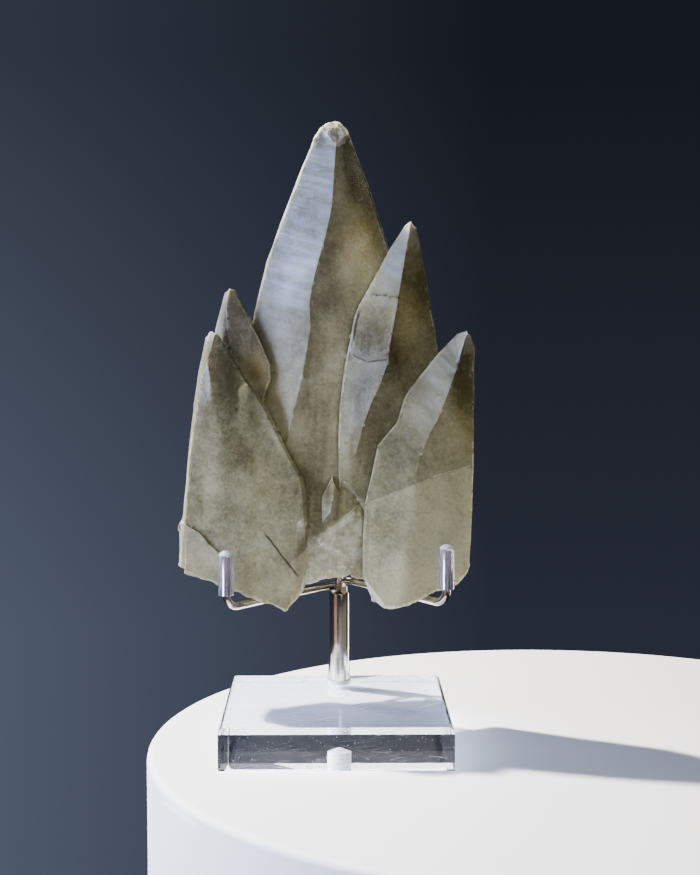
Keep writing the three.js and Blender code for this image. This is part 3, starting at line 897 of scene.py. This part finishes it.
# %% Calcite material: growth lines, grain and mottling
def growth_lines(lean):
    where = add("Mapping", {"Vector": place, "Rotation": (0, math.radians(lean), 0),
                            "Scale": (30 * MM, 30 * MM, 2.2 * MM)}, vector_type="TEXTURE")
    return add("TexNoise", {"Vector": where, "Scale": 1.0, "Detail": 4.0, "Roughness": 0.75})


right_blades = add("MapRange", side, -2 * MM, 22 * MM)
growth = add("Mix", {"Factor": right_blades, "A": growth_lines(16), "B": growth_lines(40)})
grain = add("TexNoise", {"Vector": place, "Scale": 1000 / 0.9, "Detail": 4, "Roughness": 0.65})
mottle = add("TexNoise", {"Vector": place, "Scale": 1000 / 2.6, "Detail": 6, "Roughness": 0.78})
print("growth lines and grain:", len(stone.node_tree.nodes), "nodes so far")

# %% [markdown]
# An old fracture healed across the right half of the cluster, and the stone below it is milkier. In
# the front view it rises from left to right in three runs, each less steep than the last. A row
# gives a run's two ends across and its two heights, and the later runs add to the first.

# %% Calcite material: below the healed fracture
FRACTURE_RUNS = [(-12.8, 7.1, 51.8, 68.1), (7.1, 26.7, 0, 8), (26.7, 39.2, 0, 3.1)]
runs = [add("MapRange", side, *(value * MM for value in row)) for row in FRACTURE_RUNS]
fracture = add("Math", add("Math", runs[0], runs[1]), runs[2])
ragged = add("MapRange", add("TexNoise", {"Vector": place, "Scale": 1000 / 5, "Detail": 3}),
             0, 1, -0.5 * MM, 0.5 * MM)
depth_below = add("Math", add("Math", fracture, ragged), height, operation="SUBTRACT")
below = add("Math", add("MapRange", depth_below, 0, 0.3 * MM),
            add("MapRange", side, -13 * MM, -12.5 * MM), operation="MULTIPLY")
print("fracture rises from", FRACTURE_RUNS[0][2], "mm over", len(runs), "runs")

# %% [markdown]
# A few cracks show as thin ragged lines, dark where they are open and light where they have healed.
# Each row gives the two ends in the front view and the half width, in millimetres. A Mapping node
# lays a unit of length along the crack and a unit of height across it, and noise bends the line.

# %% Calcite material: cracks
DARK_CRACKS = [
    ((-20.5, 60.4), (-10.6, 47.2), 0.35), ((4.3, 111.3), (6.5, 123.1), 0.5),
    ((4.6, 110.5), (8.8, 108.5), 0.3), ((8.8, 108.5), (14.7, 109.3), 0.3),
]
LIGHT_CRACKS = [((26.7, 76.1), (39.2, 79.2), 0.2), ((-8, 55.8), (7.1, 68.1), 0.2)]
FRONT_ONLY = (9 * MM, 7 * MM)


def crack(start, end, width):
    reach = Vector(end) - Vector(start)
    where = add("Mapping", {
        "Vector": place, "Location": (start[0] * MM, 0, start[1] * MM),
        "Rotation": (0, -math.atan2(reach.y, reach.x), 0),
        "Scale": (reach.length * MM, MM, width * MM)}, vector_type="TEXTURE")
    along, _, across = add("SeparateXYZ", where).outputs
    wander = add("TexNoise", {"Vector": place, "Scale": 1000 / 2.5, "Detail": 3})
    across = add("Math", across, add("MapRange", wander, 0, 1, -1, 1))
    line = add("MapRange", add("Math", across, operation="ABSOLUTE"), 0.4, 1.1, 1, 0)
    for end_of_line in (add("MapRange", along, -0.02, 0.1), add("MapRange", along, 1.02, 0.9),
                        add("MapRange", front, *FRONT_ONLY)):
        line = add("Math", line, end_of_line, operation="MULTIPLY")
    return line


def all_cracks(table):
    total = crack(*table[0])
    for row in table[1:]:
        total = add("Math", total, crack(*row), operation="MAXIMUM")
    return total


dark_cracks = all_cracks(DARK_CRACKS)
light_cracks = all_cracks(LIGHT_CRACKS)
print("cracks:", len(DARK_CRACKS), "dark,", len(LIGHT_CRACKS), "light")

# %% [markdown]
# How milky the stone is adds up from large clouds, a milkier root, the placed veils, the part below
# the fracture and some mottling. Between the outer blades it also changes in tall narrow columns,
# as the blades grew upwards.

# %% Calcite material: how milky the stone is
cloud = add("TexNoise", {"Vector": place, "Scale": 1000 / 14, "Detail": 5, "Roughness": 0.6})
cloud = add("MapRange", cloud, 0.0, 1.0, 0.18, 0.82)
for layer in (add("MapRange", height, 0.045, 0.13, 0.27, 0.05),
              add("Math", kept["veil"], 0.45, operation="MULTIPLY"),
              add("Math", below, 0.14, operation="MULTIPLY"),
              add("MapRange", mottle, 0.3, 0.7, -0.1, 0.1)):
    cloud = add("Math", cloud, layer)

where = add("Mapping", {"Vector": place, "Rotation": (0, math.radians(4), 0),
                        "Scale": (3.2 * MM, 3.2 * MM, 45 * MM)}, vector_type="TEXTURE")
columns = add("TexNoise", {"Vector": where, "Scale": 1.0, "Detail": 3.0})
columns = add("MapRange", columns, 0.35, 0.65, -0.16, 0.16)
for fade in (add("MapRange", height, 0.115, 0.095), add("MapRange", side, -16 * MM, -8 * MM),
             add("MapRange", side, 16 * MM, 9 * MM)):
    columns = add("Math", columns, fade, operation="MULTIPLY")
milky = add("Math", add("MapRange", cloud, 0.34, 0.9), columns)
print("milkiness:", len(stone.node_tree.nodes), "nodes so far")

# %% [markdown]
# Some places are white. The rims of thin edges and the points of the crystals are white, less so near
# the root; this white is partly wear and partly a painted highlight of light shining through the thin
# stone. Fresh breaks are white, most of all the broken tip. The scar is white, and its white also stands
# for painted light from the floor below. So are the healed cracks. The frosted faces are paler in
# streaks that follow the growth lines; this is frost, and also a painted sheen of the cool light from
# the left. Each is a share from 0 to 1.

# %% Calcite material: white and frosted places
# Painted highlight, partly wear: white along thin edges and at the crystal points, where light shines
# through thin stone.
rim = add("Math", kept["edge"], add("MapRange", mottle, 0.35, 0.6, 0.12, 0.34), operation="MULTIPLY")
rim = add("Math", rim, add("MapRange", height, 0.06, 0.085, 0.25, 1.0), operation="MULTIPLY")
fresh = add("Math", kept["break"], add("MapRange", height, 0.1, 0.16, 0.28, 1.0), operation="MULTIPLY")
fresh = add("Math", fresh, add("MapRange", grain, 0.3, 0.6, 0.35, 0.85), operation="MULTIPLY")
# The scar is whitened. Part of this is a fresh cleavage face, and part is painted light from the floor
# below, which it faces.
flat_scar = add("Math", kept["scar"], add("MapRange", mottle, 0.4, 0.65, 0.15, 0.5),
                operation="MULTIPLY")
healed = add("Math", light_cracks, 0.16, operation="MULTIPLY")
white = rim
for share in (fresh, flat_scar, healed):
    white = add("Math", white, share, operation="MAXIMUM")

# Frost and painted sheen: the left-looking faces are paler in streaks along the growth lines.
streak = add("MapRange", growth, 0.32, 0.68, 0.5, 1.12)
frost_and_sheen_share = add("Math", kept["frost_and_sheen"], streak, operation="MULTIPLY")
frost_and_sheen_share = add("Math", frost_and_sheen_share, add("MapRange", mottle, 0.35, 0.62, 0.75, 1.0), operation="MULTIPLY")
print("white and frost:", len(stone.node_tree.nodes), "nodes so far")

# %% [markdown]
# The colour is laid on in layers, like glazes: each row below is a share and the colour that it mixes in
# over what is already there. Under them all is olive stone in two tones. Then come, in order: painted
# shade on the clearest spot of the left crystal; honey-coloured warm zones; milk; light and dark grain;
# frost, which is cream low down and bluish higher up, and partly a painted sheen of the cool light from
# the left; white, which is partly a painted highlight; and at last the open cracks and painted shade in
# the grooves.

# %% Calcite material: colour
broad = add("TexNoise", {"Vector": place, "Scale": 1000 / 24, "Detail": 3})
tone = add("MixRGB", add("MapRange", broad, 0.35, 0.65), linear("#716A42"), linear("#878053"))
# Frost colour, cream low down and bluish higher up. The bluish part is a painted sheen of the cool
# light.
frost_and_sheen_tone = add("MixRGB", add("MapRange", height, 0.09, 0.13), linear("#D8D7CC"), linear("#CFD9EA"))
# Painted shade in the grooves, weaker towards the root.
groove_painted_shade = add("Math", kept["groove"], add("MapRange", height, 0.055, 0.08, 0.12, 0.5),
                   operation="MULTIPLY")
for share, colour in (
        # Painted shade: dark colour where the veils are clearest, on the left crystal.
        (add("MapRange", kept["veil"], -0.8, -1.2), linear("#3A3524")),
        (add("MapRange", kept["warm"], 0.0, 1.0, 0.0, 0.9), linear("#CBBB70")),
        (milky, linear("#C9C6A8")),
        (add("MapRange", grain, 0.5, 0.7, 0.0, 0.4), linear("#DAD8C2")),
        (add("MapRange", grain, 0.48, 0.3, 0.0, 0.24), linear("#4F4A30")),
        (add("Math", frost_and_sheen_share, 0.9, operation="MULTIPLY"), frost_and_sheen_tone),
        (white, linear("#DEE0DA")),
        (add("Math", dark_cracks, 0.8, operation="MULTIPLY"), linear("#3A3422")),
        (groove_painted_shade, linear("#4E4832"))):
    tone = add("MixRGB", share, tone, colour)
print("colour:", len(stone.node_tree.nodes), "nodes so far")

# %% [markdown]
# Clear stone lets light through, and milk, white, frost and iron stains each hold some of it back.
# White places are rougher, while the scar is a cleavage face and so a little glossier. The growth
# lines and the etched skin are bumps, far finer than the mesh.

# %% Calcite material: clearness, roughness and skin
clear = add("MapRange", milky, 0.0, 1.0, 0.86, 0.42)
for share, least in ((white, 0.3), (frost_and_sheen_share, 0.5), (kept["warm"], 0.5)):
    held_back = add("MapRange", share, 0.0, 1.0, 1.0, least)
    clear = add("Math", clear, held_back, operation="MULTIPLY")

roughness = add("Math", add("MapRange", white, 0.0, 1.0, 0.24, 0.55),
                add("MapRange", kept["frost_and_sheen"], 0.0, 1.0, 0.0, 0.14))
roughness = add("Math", roughness, add("Math", kept["scar"], 0.1, operation="MULTIPLY"),
                operation="SUBTRACT")

line_height = add("Math", growth, add("MapRange", kept["frost_and_sheen"], 0.0, 1.0, 0.3, 1.0),
                  operation="MULTIPLY")
grown = add("Bump", {"Height": line_height, "Strength": 0.7, "Distance": 0.35 * MM})
etched = add("Bump", {"Height": add("Math", grain, mottle), "Strength": 0.5,
                      "Distance": 0.18 * MM, "Normal": grown})

surface = add("BsdfPrincipled", {
    "Base Color": tone, "Roughness": roughness, "IOR": 1.6, "Transmission Weight": clear,
    "Subsurface Weight": 0.7, "Subsurface Radius": (1.0, 0.85, 0.5),
    "Subsurface Scale": 2.5 * MM, "Normal": etched})
inside = add("VolumeAbsorption", {"Color": linear("#ACA77A"), "Density": 20.0})
add("OutputMaterial", {"Surface": surface, "Volume": inside})
calcite.data.materials.append(stone)
finish(calcite, "calcite_cluster")

# %% [markdown]
# ## Floor and light
#
# The stage is a plain pale round slab in front of a plain dark surround, so that light can come
# through the crystals from behind. The slab is left out of reflections, because it would make the
# polished metal white all over.

# %% Floor
FLOOR_RADIUS = 121.6 * MM
FLOOR_DEPTH = 100 * MM
FLOOR_CENTRE = 68 * MM
FLOOR_GAP = 0.2 * MM
bpy.ops.object.select_all(action="DESELECT")
bpy.ops.mesh.primitive_cylinder_add(
    vertices=160, radius=FLOOR_RADIUS, depth=FLOOR_DEPTH,
    location=(FLOOR_CENTRE, 0, -FLOOR_GAP - FLOOR_DEPTH / 2))
floor = bpy.context.object
floor.name = "floor"
bpy.ops.object.transform_apply(location=True)
apply_modifier(floor, "BEVEL", width=2 * MM, segments=4, limit_method="ANGLE")
smooth_by_angle(floor, 30)
plaster = new_material("pale_plaster_floor")
add = partial(node, plaster.node_tree)
add("OutputMaterial", add("BsdfPrincipled", {"Base Color": linear("#DADBDE"), "Roughness": 0.8}))
floor.data.materials.append(plaster)
floor.visible_glossy = False
print("floor:", len(floor.data.polygons), "faces")

# %% [markdown]
# The key is a small strong light from the left and behind, which makes the edges glow and throws
# the shadow. A wide cool fill from the left gives the left faces their bluish sheen, and a dim warm
# one stands in front. Polished metal and clear plastic show only what they mirror, so they have
# cards of their own: a pinkish one at the left front, cream ones in front and to the right, and a
# white strip at the right back for the line down the post. A faint one lies just inside the slab,
# where only reflections within the block find it.

# %% Light
MIDDLE = (0, 0, 0.09)
POST_MIDDLE = (*POST_AXIS, 0.025)
LIGHTS = [
    ("key", (-0.37, 0.2, 0.72), MIDDLE, (0.025, 0.025), 24, "#FFF7EC"),
    ("cool_fill", (-0.8, -0.28, 0.22), MIDDLE, (0.5, 0.5), 20, "#C6D2F1"),
    ("front_fill", (0.25, -0.9, 0.5), MIDDLE, (0.5, 0.4), 2.4, "#FFF6E8"),
    ("warm_card", (-0.58, -0.69, -0.12), POST_MIDDLE, (0.55, 0.4), 0.34, "#FFD2BC"),
    ("room_card", (0.35, -1.1, -0.17), POST_MIDDLE, (0.9, 0.4), 0.4, "#F4EBDA"),
    ("side_card", (1.0, -0.46, -0.16), POST_MIDDLE, (1.0, 0.4), 0.42, "#EFE3CF"),
    ("under_card", (0, -0.02, -0.004), (0, -0.02, 1), (0.09, 0.09), 0.03, "#FFFFFF"),
    ("white_card", (0.5, 0.42, -0.06), POST_MIDDLE, (0.1, 0.3), 1.2, "#FFFFFF"),
]


def soft_light(name, place, target, size, watts, colour):
    aim = (Vector(target) - Vector(place)).to_track_quat("-Z", "Y").to_euler()
    bpy.ops.object.light_add(type="AREA", location=place, rotation=aim)
    light = bpy.context.object
    light.name = name
    light.data.shape = "RECTANGLE"
    light.data.size, light.data.size_y = size
    light.data.energy = watts
    light.data.color = linear(colour)[:3]
    return light


lights = {row[0]: soft_light(*row) for row in LIGHTS}
lights["cool_fill"].visible_glossy = False
print("lights:", list(lights))

# %% [markdown]
# The surround is a dark blue-grey that is lighter to the left and below, as a wall is that is lit
# from that side. Past the left edge of the view it falls off again, so that the post keeps a dark
# edge in its reflections.

# %% Surround
surround = bpy.data.worlds.new("dark_surround")
surround.use_nodes = True
surround.node_tree.nodes.clear()
add = partial(node, surround.node_tree)
rightward, _, upward = add("SeparateXYZ", add("TexCoord").outputs["Generated"]).outputs
grey = add("MixRGB", add("MapRange", rightward, -0.45, 0.1), linear("#59606F"), linear("#2B2E38"))
dim_above = add("MapRange", upward, -0.2, 0.16, 1.45, 0.72)
dim_far_left = add("MapRange", rightward, -0.7, -0.35, 0.4, 1.0)
strength = add("Math", dim_above, dim_far_left, operation="MULTIPLY")
add("OutputWorld", add("Background", grey, strength))
bpy.context.scene.world = surround
bpy.context.scene.view_settings.look = "AgX - Medium High Contrast"
print("surround:", len(surround.node_tree.nodes), "nodes")
